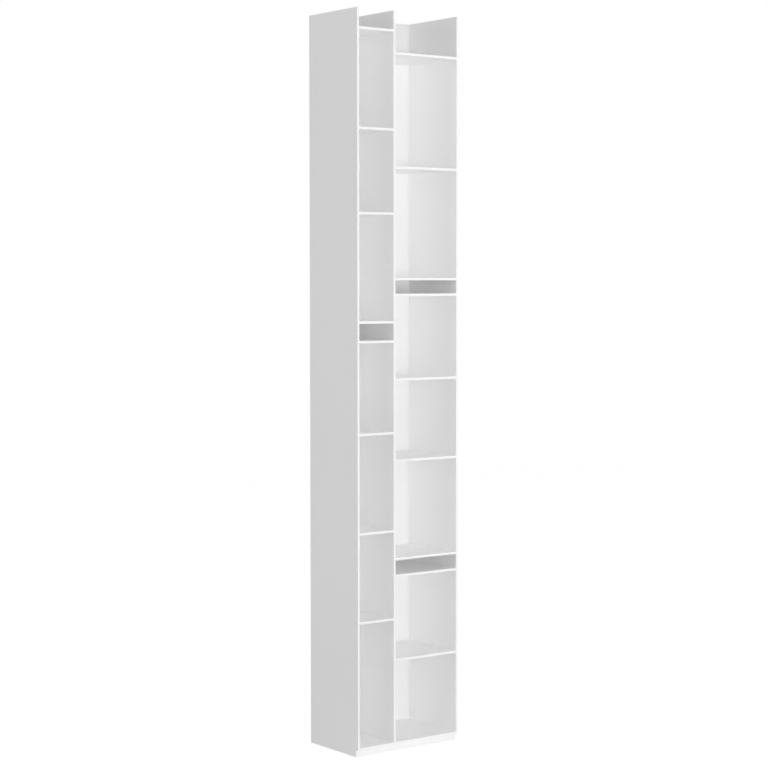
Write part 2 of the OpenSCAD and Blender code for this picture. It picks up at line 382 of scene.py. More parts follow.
# %% [markdown]
# ## Back panels
# Each back is a thin board that slides down the grooves of its column. Near the top it
# has one hole for the wall screw, in line with the hole in the bracket. The record lists
# both holes as places to fasten the bookcase, so their size and place come from there,
# and the same cutter later bores the bracket.

# %% Back panels
DRILL_REACH = 20 * mm


def wall_drill(mount_name):
    """A cutter along the wall screw's hole."""
    mount = next(m for m in record["mounts"] if m["name"] == mount_name)
    radius = mount["dims"]["r_mm"] * mm
    start = Vector(mount["pos_m"]) - Vector((0, DRILL_REACH, 0))
    return drum("wall_drill", radius, start, 2 * DRILL_REACH, axis="Y")


narrow_wall_drill = wall_drill("narrow_wall_hole")
wide_wall_drill = wall_drill("wide_wall_hole")
narrow_back = straight_board("narrow_back", "narrow_back_panel", 2, narrow_wall_drill)
wide_back = straight_board("wide_back", "wide_back_panel", 2, wide_wall_drill)

# %% [markdown]
# ## Shelves
# The seventeen shelves come in two widths. One of each width is made, eased along its
# front and bored for its dowels, and the others are copies moved to the height that the
# frame gives. An Array modifier would space them evenly, which the real ones aren't.

# %% Shelves
def shelf_run(column, count):
    """All shelves of one column, from the bottom up."""
    low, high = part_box(f"{column}_shelf_1")
    first = block(f"{column}_board_1", low, high)
    front = low.y + mm
    ease(first, ARRIS, lambda middle, direction: runs_along(direction, 0) and middle.y < front)
    ease(first, JOINT_ARRIS, is_square_end(low, high, 0), segments=1)
    bore(first, drill)
    shade(first)
    boards = [first]
    for number in range(2, count + 1):
        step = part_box(f"{column}_shelf_{number}")[0] - low
        boards.append(copy_of(first, f"{column}_board_{number}", step))
    return boards


narrow_boards = shelf_run("narrow", 8)
wide_boards = shelf_run("wide", 9)
print("shelves:", len(narrow_boards) + len(wide_boards))

# %% [markdown]
# ## Where the small parts sit
# Screws, inserts and blocks repeat, and one CAD node holds all of a kind. A copy of such
# a node falls apart into its loose pieces, and their corners say where each one sits.

# %% Find the loose parts of a node
def throw_away(*pieces):
    """Remove pieces that have done their work."""
    for piece in pieces:
        bpy.data.objects.remove(piece)


def loose_parts(node):
    """The corners of each separate solid in a CAD node, as (low, high) pairs."""
    pick(fat_copy(node, 0))
    bpy.ops.mesh.separate(type="LOOSE")
    corners = []
    for part in list(bpy.context.selected_objects):
        points = [vertex.co for vertex in part.data.vertices]
        low = Vector(min(point[axis] for point in points) for axis in range(3))
        high = Vector(max(point[axis] for point in points) for axis in range(3))
        corners.append((low, high))
        throw_away(part)
    print(node, "parts:", len(corners))
    return sorted(corners, key=lambda pair: tuple(round(v, 5) for v in pair[0]))


bracket_spots = loose_parts("bracket_screws")
block_spots = loose_parts("block_screws")
insert_spots = loose_parts("foot_inserts")
block_boxes = loose_parts("foot_blocks")

# %% [markdown]
# ## The bend of a bracket
# In the rear left corner of each open top bay sits a small steel angle, hidden from the
# front. It is bent from sheet, so its heel has an outer and an inner bend, and its free
# corners are rounded. Each kind of edge is told apart by where it lies.

# %% Bend and corner helpers
BRACKET_SHEET = 2.5 * mm
INNER_BEND_R = 0.8 * mm
BEND_SEGMENTS = 5
NEARBY = 0.1 * mm  # an edge this near to a corner belongs to it


def round_the_bend(angle, low, high):
    """Round the outer and the inner line of the bend."""
    def outer(middle, direction):
        at_heel = middle.x < low.x + NEARBY and middle.y > high.y - NEARBY
        return runs_along(direction, 2) and at_heel

    def inner(middle, direction):
        at_x = abs(middle.x - low.x - BRACKET_SHEET) < NEARBY
        at_y = abs(middle.y - high.y + BRACKET_SHEET) < NEARBY
        return runs_along(direction, 2) and at_x and at_y

    ease(angle, BRACKET_SHEET, outer, BEND_SEGMENTS)
    ease(angle, INNER_BEND_R, inner)


def is_free_corner(low, high):
    """A test for the corners of the two legs that stand away from the bend."""
    def wanted(middle, direction):
        at_tip_y = middle.y < low.y + NEARBY and runs_along(direction, 0)
        at_tip_x = middle.x > high.x - NEARBY and runs_along(direction, 1)
        return at_tip_y or at_tip_x
    return wanted


# %% [markdown]
# ## Wall brackets
# Two crossing blocks would give an angle too, but with a seam inside the heel. So one leg
# is a block, and the second is pulled out of it, as a press brake folds it from the same
# sheet. The wall hole is cut with the back panel's own drill, and the holes for the
# bracket's two screws are drilled in line with the screws themselves.

# %% Screw holes of a bracket
BRACKET_SCREW_R = 1.5 * mm
SCREW_PLAY = 0.1 * mm


def bore_screw_holes(angle, low):
    """Drill the bracket for those screws that pass through its leg."""
    for spot_low, spot_high in bracket_spots:
        if not spot_low.x < low.x < spot_high.x:
            continue
        centre = (spot_low + spot_high) / 2
        start = Vector((low.x - OVERRUN, centre.y, centre.z))
        radius = BRACKET_SCREW_R + SCREW_PLAY
        reach = BRACKET_SHEET + 2 * OVERRUN
        twist = drum("twist_drill", radius, start, reach, axis="X", sides=SMALL_SIDES)
        bore(angle, twist)
        throw_away(twist)


# %% Wall brackets
FREE_CORNER_R = 3 * mm


def wall_bracket(name, node, hole_cutter):
    """A bent steel angle with all its holes."""
    low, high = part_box(node)
    heel = high.y - BRACKET_SHEET

    def at_heel(centre, normal):
        return normal.x > MOSTLY and centre.y > heel

    angle = block(name, low, Vector((low.x + BRACKET_SHEET, heel, high.z)))
    pull_faces(angle, lambda centre, normal: normal.y > MOSTLY, (0, BRACKET_SHEET, 0))
    pull_faces(angle, at_heel, (high.x - low.x - BRACKET_SHEET, 0, 0))
    round_the_bend(angle, low, high)
    ease(angle, FREE_CORNER_R, is_free_corner(low, high), BEND_SEGMENTS)
    bore(angle, hole_cutter)
    bore_screw_holes(angle, low)
    open_for_editing(angle, "VERT")
    weld_points()
    close_editing()
    shade(angle)
    tell(angle)
    return angle


narrow_bracket = wall_bracket("narrow_bracket", "narrow_wall_bracket", narrow_wall_drill)
wide_bracket = wall_bracket("wide_bracket", "wide_wall_bracket", wide_wall_drill)

# %% [markdown]
# ## Screws
# A screw is turned, so one is made from a drum: the head is extruded from it, its rim is
# eased, and a cross recess is cut into it by two crossed bars. The thread is hidden in
# wood, so the shank stays plain. Each kind is modelled once, and copies go to every place
# where the frame holds a screw.

# %% Make one screw
HEAD_ROUNDING = 0.45  # of the head's height
HEAD_SEGMENTS = 4
RECESS_DEPTH = 0.6  # of the head's height
RECESS_REACH = 0.55  # of the head's radius
RECESS_HALF_WIDTH = 0.28 * mm
TIP_CHAMFER = 0.5  # of the shank's radius


def screw(name, shank_r, head_r, head_h, length):
    """A pan-head screw that stands on its tip at the origin, with its head on top."""
    shank = drum(name, shank_r, Vector((0, 0, 0)), length - head_h, sides=SMALL_SIDES)
    open_on_faces(shank, lambda centre, normal: normal.z > MOSTLY)
    widen = head_r / shank_r
    bpy.ops.mesh.extrude_region_move(TRANSFORM_OT_translate={"value": (0, 0, 0)})
    bpy.ops.transform.resize(value=(widen, widen, 1))
    bpy.ops.mesh.extrude_region_move(TRANSFORM_OT_translate={"value": (0, 0, head_h)})
    close_editing()
    top = length - HAIR
    rounding = head_h * HEAD_ROUNDING
    ease(shank, rounding, lambda middle, direction: middle.z > top, HEAD_SEGMENTS)
    open_on_faces(shank, lambda centre, normal: normal.z < -MOSTLY)
    bpy.ops.mesh.bevel(offset=shank_r * TIP_CHAMFER, segments=1, affect="EDGES")
    close_editing()
    cut_cross(shank, Vector((0, 0, length)), head_r * RECESS_REACH, head_h * RECESS_DEPTH)
    shade(shank)
    return shank


def cut_cross(head, crown, reach, depth):
    """Cut a cross recess into the crown of a screw's head."""
    width = RECESS_HALF_WIDTH
    for half in (Vector((reach, width, depth)), Vector((width, reach, depth))):
        bar = block("bar", crown - half, crown + half)
        bore(head, bar)
        throw_away(bar)


# %% Seat the screws
PAN_HEAD_H = 1.6 * mm
BLOCK_SCREW_R = 1.75 * mm
BLOCK_HEAD_H = 2 * mm


def seat_screws(name, spots, model, heads_to_right):
    """One screw in every place where the frame has one, heads to the right or down."""
    seated = []
    for low, high in spots:
        centre = (low + high) / 2
        if heads_to_right:
            tip = Vector((low.x, centre.y, centre.z))
            turn = Matrix.Rotation(math.pi / 2, 4, "Y")
        else:
            tip = Vector((centre.x, centre.y, high.z))
            turn = Matrix.Rotation(math.pi, 4, "X")
        twin = copy_of(model, name)
        twin.data.transform(Matrix.Translation(tip) @ turn)
        seated.append(twin)
    return join(name, seated)


spot_size = bracket_spots[0][1] - bracket_spots[0][0]
pan_screw = screw("pan_screw", BRACKET_SCREW_R, spot_size.y / 2, PAN_HEAD_H, spot_size.x)
angle_screws = seat_screws("angle_screws", bracket_spots, pan_screw, True)
spot_size = block_spots[0][1] - block_spots[0][0]
long_screw = screw("long_screw", BLOCK_SCREW_R, spot_size.x / 2, BLOCK_HEAD_H, spot_size.z)
foot_screws = seat_screws("foot_screws", block_spots, long_screw, False)
throw_away(pan_screw, long_screw)
tell(angle_screws, foot_screws)

# %% [markdown]
# ## Turned parts
# Pads, studs and inserts are round, so they are made as on a lathe: a profile is drawn as
# a chain of points, one extrude after another, and spun once round its own axis. The seam
# and the poles are merged afterwards, and the normals are turned outwards.

# %% Lathe helper
LATHE_MERGE = 0.005 * mm


def turned(name, profile, centre, steps=ROUND_SIDES):
    """Spin a profile of (radius, height) pairs round the vertical line through centre."""
    pick()
    bpy.ops.mesh.primitive_plane_add(size=mm, location=(0, 0, 0))
    piece = bpy.context.object
    piece.name = piece.data.name = name
    open_for_editing(piece, "VERT")
    bpy.ops.mesh.select_all(action="SELECT")
    bpy.ops.mesh.merge(type="CENTER")
    radius, height = profile[0]
    bpy.ops.transform.translate(value=(centre.x + radius, centre.y, height))
    for following_radius, following_height in profile[1:]:
        step = (following_radius - radius, 0, following_height - height)
        bpy.ops.mesh.extrude_region_move(TRANSFORM_OT_translate={"value": step})
        radius, height = following_radius, following_height
    bpy.ops.mesh.select_all(action="SELECT")
    axis_point = (centre.x, centre.y, 0)
    bpy.ops.mesh.spin(steps=steps, angle=math.tau, center=axis_point, axis=(0, 0, 1))
    weld_points(LATHE_MERGE)
    bpy.ops.mesh.normals_make_consistent(inside=False)
    close_editing()
    return piece


# %% [markdown]
# ## Pads of the levelling feet
# Behind the plinths, four feet carry the bookcase. A moulded nylon pad lies on the floor,
# and a steel stud stands in its blind bore. The pad could be cut from a drum, but its cone
# and its bore are one outline, which a lathe turns in one go.

# %% Pads
JOURNAL_R = 2.75 * mm
JOURNAL_FLOOR = 1.5 * mm
RUNNING_FIT = 0.1 * mm
PAD_NECK_R = 7 * mm
PAD_LIP = 0.3 * mm


def foot_centre(place):
    """The middle of one foot's pad."""
    low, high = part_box("foot_pad_" + place)
    return (low + high) / 2


def pad_profile():
    """From the middle of the sole, over the rim and the cone, down into the blind bore."""
    low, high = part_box("foot_pad_front_left")
    rim = (high.x - low.x) / 2
    top = high.z
    bore_r = JOURNAL_R + RUNNING_FIT
    lip = PAD_LIP
    return [
        (0, 0), (rim - 2 * lip, 0), (rim - lip * 0.6, lip * 0.6), (rim, 2 * lip),
        (rim, JOURNAL_FLOOR - lip), (rim - lip, JOURNAL_FLOOR), (PAD_NECK_R + lip, top - lip),
        (PAD_NECK_R - lip, top), (bore_r + lip, top), (bore_r, top - lip),
        (bore_r, JOURNAL_FLOOR), (0, JOURNAL_FLOOR),
    ]


first_place = foot_centre("front_left")
first_pad = turned("pad_front_left", pad_profile(), first_place)
shade(first_pad)
tell(first_pad)

# %% [markdown]
# ## Studs of the levelling feet
# Turning the stud's hexagon with a spanner screws its thread up or down in a metal
# insert, which lifts that corner of the bookcase. A true helix would have to slide along
# itself as the stud turns, so the thread is drawn as one ridge for each turn. Such ridges
# look right at every height, and each is closed in itself.

# %% Outline of a stud
THREAD_PITCH = 1.25 * mm
THREAD_DEPTH = 0.6 * mm
THREAD_R = 4 * mm
RIDGE = ((0.05, THREAD_R - THREAD_DEPTH), (0.45, THREAD_R), (0.6, THREAD_R))
STUD_LEAD = 0.25 * mm


def stud_profile(low, high, hexagon_top):
    """Journal, plain neck inside the hexagon, then one ridge after another."""
    lead = STUD_LEAD
    points = [(0, low.z), (JOURNAL_R - lead, low.z), (JOURNAL_R, low.z + lead)]
    points.append((JOURNAL_R, hexagon_top))
    ridges = int((high.z - hexagon_top - lead) / THREAD_PITCH)
    for ridge in range(ridges):
        start = hexagon_top + ridge * THREAD_PITCH
        points += [(radius, start + share * THREAD_PITCH) for share, radius in RIDGE]
    root = THREAD_R - THREAD_DEPTH
    points += [(root, high.z - lead), (root - lead, high.z), (0, high.z)]
    return points


# %% Make the first stud
HEXAGON_H = 3 * mm
HEXAGON_GAP = 0.3 * mm
HEXAGON_ARRIS = 0.25 * mm


def foot_stud(name):
    """A stud for the front left foot: turned shank and a spanner hexagon."""
    low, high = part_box("foot_stud_front_left")
    hexagon_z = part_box("foot_pad_front_left")[1].z + HEXAGON_GAP
    profile = stud_profile(low, high, hexagon_z + HEXAGON_H)
    shank = turned(name, profile, first_place, SMALL_SIDES)
    across_corners = (high.x - low.x) / 2
    base = Vector((first_place.x, first_place.y, hexagon_z))
    hexagon = drum("hexagon", across_corners, base, HEXAGON_H, sides=6)
    turn = Matrix.Rotation(math.pi / 6, 4, "Z")
    hexagon.data.transform(Matrix.Translation(base) @ turn @ Matrix.Translation(-base))
    ease(hexagon, HEXAGON_ARRIS, everywhere, 2)
    boolean(shank, hexagon, "UNION")
    throw_away(hexagon)
    shade(shank)
    return shank


first_stud = foot_stud("stud_front_left")
tell(first_stud)

# %% [markdown]
# ## The other three feet
# All four feet are the same, so the first one is copied, and the frame says where each of
# the others stands.

# %% The other three feet
PLACES = ("front_left", "front_right", "rear_left", "rear_right")
foot_pads = [first_pad]
foot_studs = [first_stud]
for place in PLACES[1:]:
    step = foot_centre(place) - first_place
    foot_pads.append(copy_of(first_pad, "pad_" + place, step))
    foot_studs.append(copy_of(first_stud, "stud_" + place, step))
print("feet:", len(foot_pads))

# %% [markdown]
# ## Threaded inserts
# Each stud screws into a flanged metal sleeve. Its outer wall carries shallow rings that
# grip the wood. It is turned like the pads, from a closed profile, so that its bore is
# open at both ends.

# %% Inserts
INSERT_R = 5.25 * mm
FLANGE_R = 7 * mm
FLANGE_H = 1.2 * mm
INSERT_LEAD = 0.3 * mm
GRIP_RINGS = 5
GRIP_DEPTH = 0.3 * mm


def insert_profile(low_z, high_z):
    """A flanged sleeve whose outer wall carries shallow gripping rings."""
    bore_r = THREAD_R + RUNNING_FIT
    lead = INSERT_LEAD
    points = [(bore_r + lead, low_z), (FLANGE_R - lead, low_z), (FLANGE_R, low_z + lead)]
    points += [(FLANGE_R, low_z + FLANGE_H), (INSERT_R, low_z + FLANGE_H)]
    pitch = (high_z - low_z - FLANGE_H - lead) / GRIP_RINGS
    for ring in range(GRIP_RINGS):
        start = low_z + FLANGE_H + ring * pitch
        points.append((INSERT_R, start + 0.5 * pitch))
        points.append((INSERT_R - GRIP_DEPTH, start + 0.75 * pitch))
    points += [(INSERT_R - lead, high_z), (bore_r, high_z), (bore_r, low_z + lead)]
    points.append(points[0])
    return points


sleeves = []
for low, high in insert_spots:
    profile = insert_profile(low.z, high.z)
    sleeves.append(turned("sleeve", profile, (low + high) / 2, SMALL_SIDES))
inserts = join("threaded_inserts", sleeves)
shade(inserts)
tell(inserts)

# %% [markdown]
# ## Blocks under the bottom panel
# The insert sits in a small beech block that is screwed up against the bottom panel. The
# block is eased on all its arrises, bored for the insert in two steps, and pocketed for
# the screw heads with the same drill as the boards.

# %% Blocks
BLOCK_ARRIS = 0.6 * mm

wood_blocks = []
for low, high in block_boxes:
    piece = block("wood_block", low, high)
    ease(piece, BLOCK_ARRIS, everywhere)
    centre = (low + high) / 2
    start = Vector((centre.x, centre.y, low.z - OVERRUN))
    through = high.z - low.z + 2 * OVERRUN
    sleeve_hole = drum("sleeve_hole", INSERT_R + HOLE_PLAY, start, through)
    sink = FLANGE_H + HOLE_PLAY + OVERRUN
    flange_hole = drum("flange_hole", FLANGE_R + HOLE_PLAY, start, sink)
    bore(piece, sleeve_hole, flange_hole, drill)
    throw_away(sleeve_hole, flange_hole)
    wood_blocks.append(piece)
blocks = join("foot_blocks_beech", wood_blocks)
shade(blocks)
tell(blocks)

# %% [markdown]
# ## Putting the tools away
# The cutters were never part of the bookcase, so they leave the file before anything is
# finished. Each modelled piece then rides on its body, and the CAD node that it stands
# for is hidden.

# %% Riding and replacing
throw_away(drill, groover, narrow_wall_drill, wide_wall_drill)


def stand_in(piece, node, body="case"):
    """Hide the CAD node and let the modelled piece take its place."""
    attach(piece, body)
    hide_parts(node)


white_boards = {
    "left_side_panel": left_side, "right_side_panel": right_side, "divider_panel": divider,
    "bottom_panel": bottom, "front_plinth": toe_board, "rear_plinth": rear_board,
    "narrow_back_panel": narrow_back, "wide_back_panel": wide_back,
}
for number, board in enumerate(narrow_boards, 1):
    white_boards[f"narrow_shelf_{number}"] = board
for number, board in enumerate(wide_boards, 1):
    white_boards[f"wide_shelf_{number}"] = board
for node, board in white_boards.items():
    stand_in(board, node)
brackets = {"narrow_wall_bracket": narrow_bracket, "wide_wall_bracket": wide_bracket}
for node, angle in brackets.items():
    stand_in(angle, node)
stand_in(angle_screws, "bracket_screws")
stand_in(foot_screws, "block_screws")
stand_in(inserts, "foot_inserts")
stand_in(blocks, "foot_blocks")
for place, pad, stud in zip(PLACES, foot_pads, foot_studs):
    stand_in(pad, "foot_pad_" + place, "pad_" + place)
    stand_in(stud, "foot_stud_" + place, "stud_" + place)
print("boards dressed:", len(white_boards))

# %% [markdown]
# ## Shared surface effects
# Sprayed lacquer, powder coat, moulded nylon and plated steel all have a faint skin of
# tiny waves, a tone that drifts a little over the surface, and a gloss that is never
# quite even. These effects are node groups with named inputs and outputs, so that each
# material places the same effect with its own values. They give out only values and
# never a shader.

# %% Group helpers
def effect_group(name, inputs, outputs):
    """An empty node group with named value inputs and outputs."""
    group = bpy.data.node_groups.new(name, "ShaderNodeTree")
    for socket_name, value in inputs.items():
        socket = group.interface.new_socket(
            socket_name, in_out="INPUT", socket_type="NodeSocketFloat"
        )
        socket.default_value = value
    for socket_name in outputs:
        group.interface.new_socket(socket_name, in_out="OUTPUT", socket_type="NodeSocketFloat")
    return group, group.nodes.new("NodeGroupInput"), group.nodes.new("NodeGroupOutput")


def set_inputs(node, values):
    """Give a node's inputs their fixed values."""
    for socket_name, value in values.items():
        node.inputs[socket_name].default_value = value


def noise_in(tree, coordinates, detail=2.0, roughness=0.5):
    """A noise texture that reads the given coordinates."""
    noise = tree.nodes.new("ShaderNodeTexNoise")
    set_inputs(noise, {"Detail": detail, "Roughness": roughness})
    tree.links.new(coordinates, noise.inputs["Vector"])
    return noise


def remap(tree, value, low, high):
    """A node that spreads a value's middle range, over 0 to 1 if not told otherwise."""
    node = tree.nodes.new("ShaderNodeMapRange")
    set_inputs(node, {"From Min": low, "From Max": high})
    tree.links.new(value, node.inputs["Value"])
    return node


# %% Sprayed skin
NOISE_MIDDLE = (0.3, 0.7)  # most of a noise lies between these


def sprayed_skin():
    """Orange peel with a finer grit on it, plus a slow drift of tone."""
    group, given, result = effect_group(
        "sprayed skin",
        {"Peel Scale": 450, "Grit Scale": 2600, "Grit Share": 0.3, "Tone Scale": 2.2},
        ("Height", "Tone"),
    )
    where = group.nodes.new("ShaderNodeTexCoord").outputs["Object"]
    peel = noise_in(group, where, 1.5)
    grit = noise_in(group, where, 2.0)
    tone = noise_in(group, where, 3.0, 0.55)
    for noise, size in ((peel, "Peel Scale"), (grit, "Grit Scale"), (tone, "Tone Scale")):
        group.links.new(given.outputs[size], noise.inputs["Scale"])
    blend = group.nodes.new("ShaderNodeMix")
    group.links.new(given.outputs["Grit Share"], blend.inputs["Factor"])
    group.links.new(peel.outputs["Fac"], blend.inputs["A"])
    group.links.new(grit.outputs["Fac"], blend.inputs["B"])
    group.links.new(blend.outputs["Result"], result.inputs["Height"])
    spread = remap(group, tone.outputs["Fac"], *NOISE_MIDDLE)
    group.links.new(spread.outputs["Result"], result.inputs["Tone"])
    return group


SPRAYED_SKIN = sprayed_skin()
print("nodes in the skin:", len(SPRAYED_SKIN.nodes))

# %% Uneven gloss
SUM_MIDDLE = (0.75, 1.25)  # the same for the sum of two noises


def combined(tree, operation, first, second):
    """The result of a Math node that takes two values."""
    node = tree.nodes.new("ShaderNodeMath")
    node.operation = operation
    tree.links.new(first, node.inputs[0])
    tree.links.new(second, node.inputs[1])
    return node.outputs["Value"]


def uneven_gloss():
    """A roughness between two values, in soft patches with fine rubbing marks."""
    group, given, result = effect_group(
        "uneven gloss",
        {"Lowest": 0.4, "Highest": 0.5, "Patch Scale": 6, "Rub Scale": 160},
        ("Roughness",),
    )
    where = group.nodes.new("ShaderNodeTexCoord").outputs["Object"]
    patch = noise_in(group, where, 2.0)
    rub = noise_in(group, where, 3.0, 0.7)
    group.links.new(given.outputs["Patch Scale"], patch.inputs["Scale"])
    group.links.new(given.outputs["Rub Scale"], rub.inputs["Scale"])
    both = combined(group, "ADD", patch.outputs["Fac"], rub.outputs["Fac"])
    spread = remap(group, both, *SUM_MIDDLE)
    group.links.new(given.outputs["Lowest"], spread.inputs["To Min"])
    group.links.new(given.outputs["Highest"], spread.inputs["To Max"])
    group.links.new(spread.outputs["Result"], result.inputs["Roughness"])
    return group


UNEVEN_GLOSS = uneven_gloss()
print("nodes in the gloss:", len(UNEVEN_GLOSS.nodes))

# %% [markdown]
# ## What all finishes share
# Every finish is a Principled shader with a colour that drifts between two close tones,
# an uneven gloss and a bump. One helper lays this out, so that a finish is no more than
# its own values.

# %% Material helpers
def shader_of(material):
    """A material's Principled shader."""
    return material.node_tree.nodes["Principled BSDF"]


def tree_of(name):
    """A new material, its node tree and its Principled shader."""
    material = bpy.data.materials.new(name)
    material.use_nodes = True
    return material, material.node_tree, shader_of(material)


def place_group(tree, group, values):
    """A group node with its inputs set."""
    node = tree.nodes.new("ShaderNodeGroup")
    node.node_tree = group
    set_inputs(node, values)
    return node


# %% Tones and bump
def two_tones(tree, mask, first, second):
    """A colour that goes from the first to the second tone with the mask."""
    mix = tree.nodes.new("ShaderNodeMix")
    mix.data_type = "RGBA"
    set_inputs(mix, {"A": (*first, 1), "B": (*second, 1)})
    tree.links.new(mask, mix.inputs["Factor"])
    return mix.outputs["Result"]


def bumped(tree, shader, height, strength, distance):
    """Feed a height into the shader's normal."""
    bump = tree.nodes.new("ShaderNodeBump")
    set_inputs(bump, {"Strength": strength, "Distance": distance})
    tree.links.new(height, bump.inputs["Height"])
    tree.links.new(bump.outputs["Normal"], shader.inputs["Normal"])


def coated(name, skin, gloss, tones, bump):
    """A finish made of both effects. The bump is a strength and a distance."""
    material, tree, shader = tree_of(name)
    surface = place_group(tree, SPRAYED_SKIN, skin)
    sheen = place_group(tree, UNEVEN_GLOSS, gloss)
    colour = two_tones(tree, surface.outputs["Tone"], *tones)
    tree.links.new(colour, shader.inputs["Base Color"])
    tree.links.new(sheen.outputs["Roughness"], shader.inputs["Roughness"])
    bumped(tree, shader, surface.outputs["Height"], *bump)
    return material


# %% [markdown]
# ## White lacquer and powder coat
# The boards have a matt lacquer. It is a neutral white held a little below pure white,
# because no paint reflects all the light, and the light itself should make the front
# edges bright. The brackets are powder coated, which is coarser and a little greyer.

# %% Lacquer and powder coat
LACQUER = coated(
    "white lacquer",
    skin={"Peel Scale": 420, "Grit Scale": 2400, "Grit Share": 0.35, "Tone Scale": 1.6},
    gloss={"Lowest": 0.46, "Highest": 0.6, "Patch Scale": 5, "Rub Scale": 150},
    tones=((0.948, 0.949, 0.948), (0.966, 0.966, 0.965)),
    bump=(0.22, 0.03 * mm),
)
set_inputs(shader_of(LACQUER), {"Specular IOR Level": 0.4})
POWDER = coated(
    "powder coat",
    skin={"Peel Scale": 900, "Grit Scale": 3600, "Grit Share": 0.5, "Tone Scale": 40},
    gloss={"Lowest": 0.38, "Highest": 0.52, "Patch Scale": 90, "Rub Scale": 900},
    tones=((0.84, 0.845, 0.84), (0.87, 0.87, 0.865)),
    bump=(0.4, 0.06 * mm),
)
print("finishes:", LACQUER.name, POWDER.name)

# %% [markdown]
# ## Zinc and nylon
# Screws, studs and inserts are zinc plated: a metal with a fine grit in its gloss, the
# screws a little duller than the rest. The pads are dark grey nylon, whose skin copies
# the roughened steel of its mould.

# %% Zinc and nylon
def zinc_steel(name, dull, bright):
    """Zinc-plated steel between two tones."""
    material = coated(
        name,
        skin={"Peel Scale": 1500, "Grit Scale": 5200, "Grit Share": 0.6, "Tone Scale": 260},
        gloss={"Lowest": 0.22, "Highest": 0.4, "Patch Scale": 300, "Rub Scale": 2500},
        tones=(dull, bright),
        bump=(0.3, 0.02 * mm),
    )
    set_inputs(shader_of(material), {"Metallic": 1.0})
    return material


BRIGHT_ZINC = zinc_steel("bright zinc", (0.6, 0.6, 0.59), (0.72, 0.72, 0.7))
SCREW_ZINC = zinc_steel("screw zinc", (0.48, 0.48, 0.47), (0.62, 0.62, 0.61))
NYLON = coated(
    "moulded nylon",
    skin={"Peel Scale": 1100, "Grit Scale": 4200, "Grit Share": 0.7, "Tone Scale": 60},
    gloss={"Lowest": 0.5, "Highest": 0.68, "Patch Scale": 120, "Rub Scale": 1400},
    tones=((0.045, 0.046, 0.048), (0.06, 0.061, 0.064)),
    bump=(0.5, 0.05 * mm),
)
print("finishes:", BRIGHT_ZINC.name, SCREW_ZINC.name, NYLON.name)

# %% [markdown]
# ## Bare beech
# The foot blocks are offcuts of beech, left bare. Beech has a fine straight grain with
# short darker flecks. One noise makes the grain and a finer one the flecks, and both are
# drawn out along X by a Mapping node, so that they follow the length of the wood.

# %% Beech
GRAIN_STRETCH = 0.06
BEECH_TONES = ((0.45, 0.28, 0.15), (0.62, 0.43, 0.26))
FLECK_COLOUR = (0.3, 0.17, 0.08, 1)
FLECK_EDGE = (0.66, 0.8)  # the values of the noise between which a fleck fades in


def bare_beech():
    """Bare beech, with its grain along X."""
    material, tree, shader = tree_of("bare beech")
    where = tree.nodes.new("ShaderNodeTexCoord").outputs["Object"]
    stretch = tree.nodes.new("ShaderNodeMapping")
    set_inputs(stretch, {"Scale": (GRAIN_STRETCH, 1, 1)})
    tree.links.new(where, stretch.inputs["Vector"])
    grain = noise_in(tree, stretch.outputs["Vector"], 5.0, 0.6)
    set_inputs(grain, {"Scale": 420})
    fleck = noise_in(tree, stretch.outputs["Vector"], 1.0)
    set_inputs(fleck, {"Scale": 1500})
    grain_mask = remap(tree, grain.outputs["Fac"], *NOISE_MIDDLE)
    body = two_tones(tree, grain_mask.outputs["Result"], *BEECH_TONES)
    fleck_mask = remap(tree, fleck.outputs["Fac"], *FLECK_EDGE)
    marks = tree.nodes.new("ShaderNodeMix")
    marks.data_type = "RGBA"
    set_inputs(marks, {"B": FLECK_COLOUR})
    tree.links.new(fleck_mask.outputs["Result"], marks.inputs["Factor"])
    tree.links.new(body, marks.inputs["A"])
    tree.links.new(marks.outputs["Result"], shader.inputs["Base Color"])
    gloss = {"Lowest": 0.6, "Highest": 0.8, "Patch Scale": 80, "Rub Scale": 900}
    sheen = place_group(tree, UNEVEN_GLOSS, gloss)
    tree.links.new(sheen.outputs["Roughness"], shader.inputs["Roughness"])
    bumped(tree, shader, grain.outputs["Fac"], 0.35, 0.1 * mm)
    return material


BEECH = bare_beech()
print("nodes in the beech:", len(BEECH.node_tree.nodes))

# %% [markdown]
# ## Giving every piece its finish
# A modelled piece starts without a material, and a dowel keeps its CAD shape, because
# nothing ever shows it. So every piece has its slots cleared and gets one finish.

# %% Give every piece its finish
def finish_with(material, *pieces):
    """Give each piece this one finish."""
    for piece in pieces:
        piece.data.materials.clear()
        piece.data.materials.append(material)


finish_with(LACQUER, *white_boards.values())
finish_with(POWDER, *brackets.values())
finish_with(SCREW_ZINC, angle_screws, foot_screws)
finish_with(BRIGHT_ZINC, inserts, *foot_studs)
finish_with(NYLON, *foot_pads)
finish_with(BEECH, blocks)
for node in ("narrow_shelf_pins", "wide_shelf_pins", "base_pins"):
    finish_with(BRIGHT_ZINC, frame["nodes"][node])
print("materials:", len(bpy.data.materials))

# %% [markdown]
# ## White only for the camera
# The photograph shows the bookcase cut out on pure white. More light would whiten the
# background too, but it would bleach the bookcase first. A Light Path node tells rays
# that the camera sees from rays that carry light, so the background can be white to the
# eye and stay calm as a source of light.

# %% Ray helpers
def white_to_camera(tree):
    """1 for rays from the camera and in mirrors or glass, 0 for rays that carry light."""
    path = tree.nodes.new("ShaderNodeLightPath").outputs
    either = combined(tree, "MAXIMUM", path["Is Camera Ray"], path["Is Glossy Ray"])
    return combined(tree, "MAXIMUM", either, path["Is Transmission Ray"])


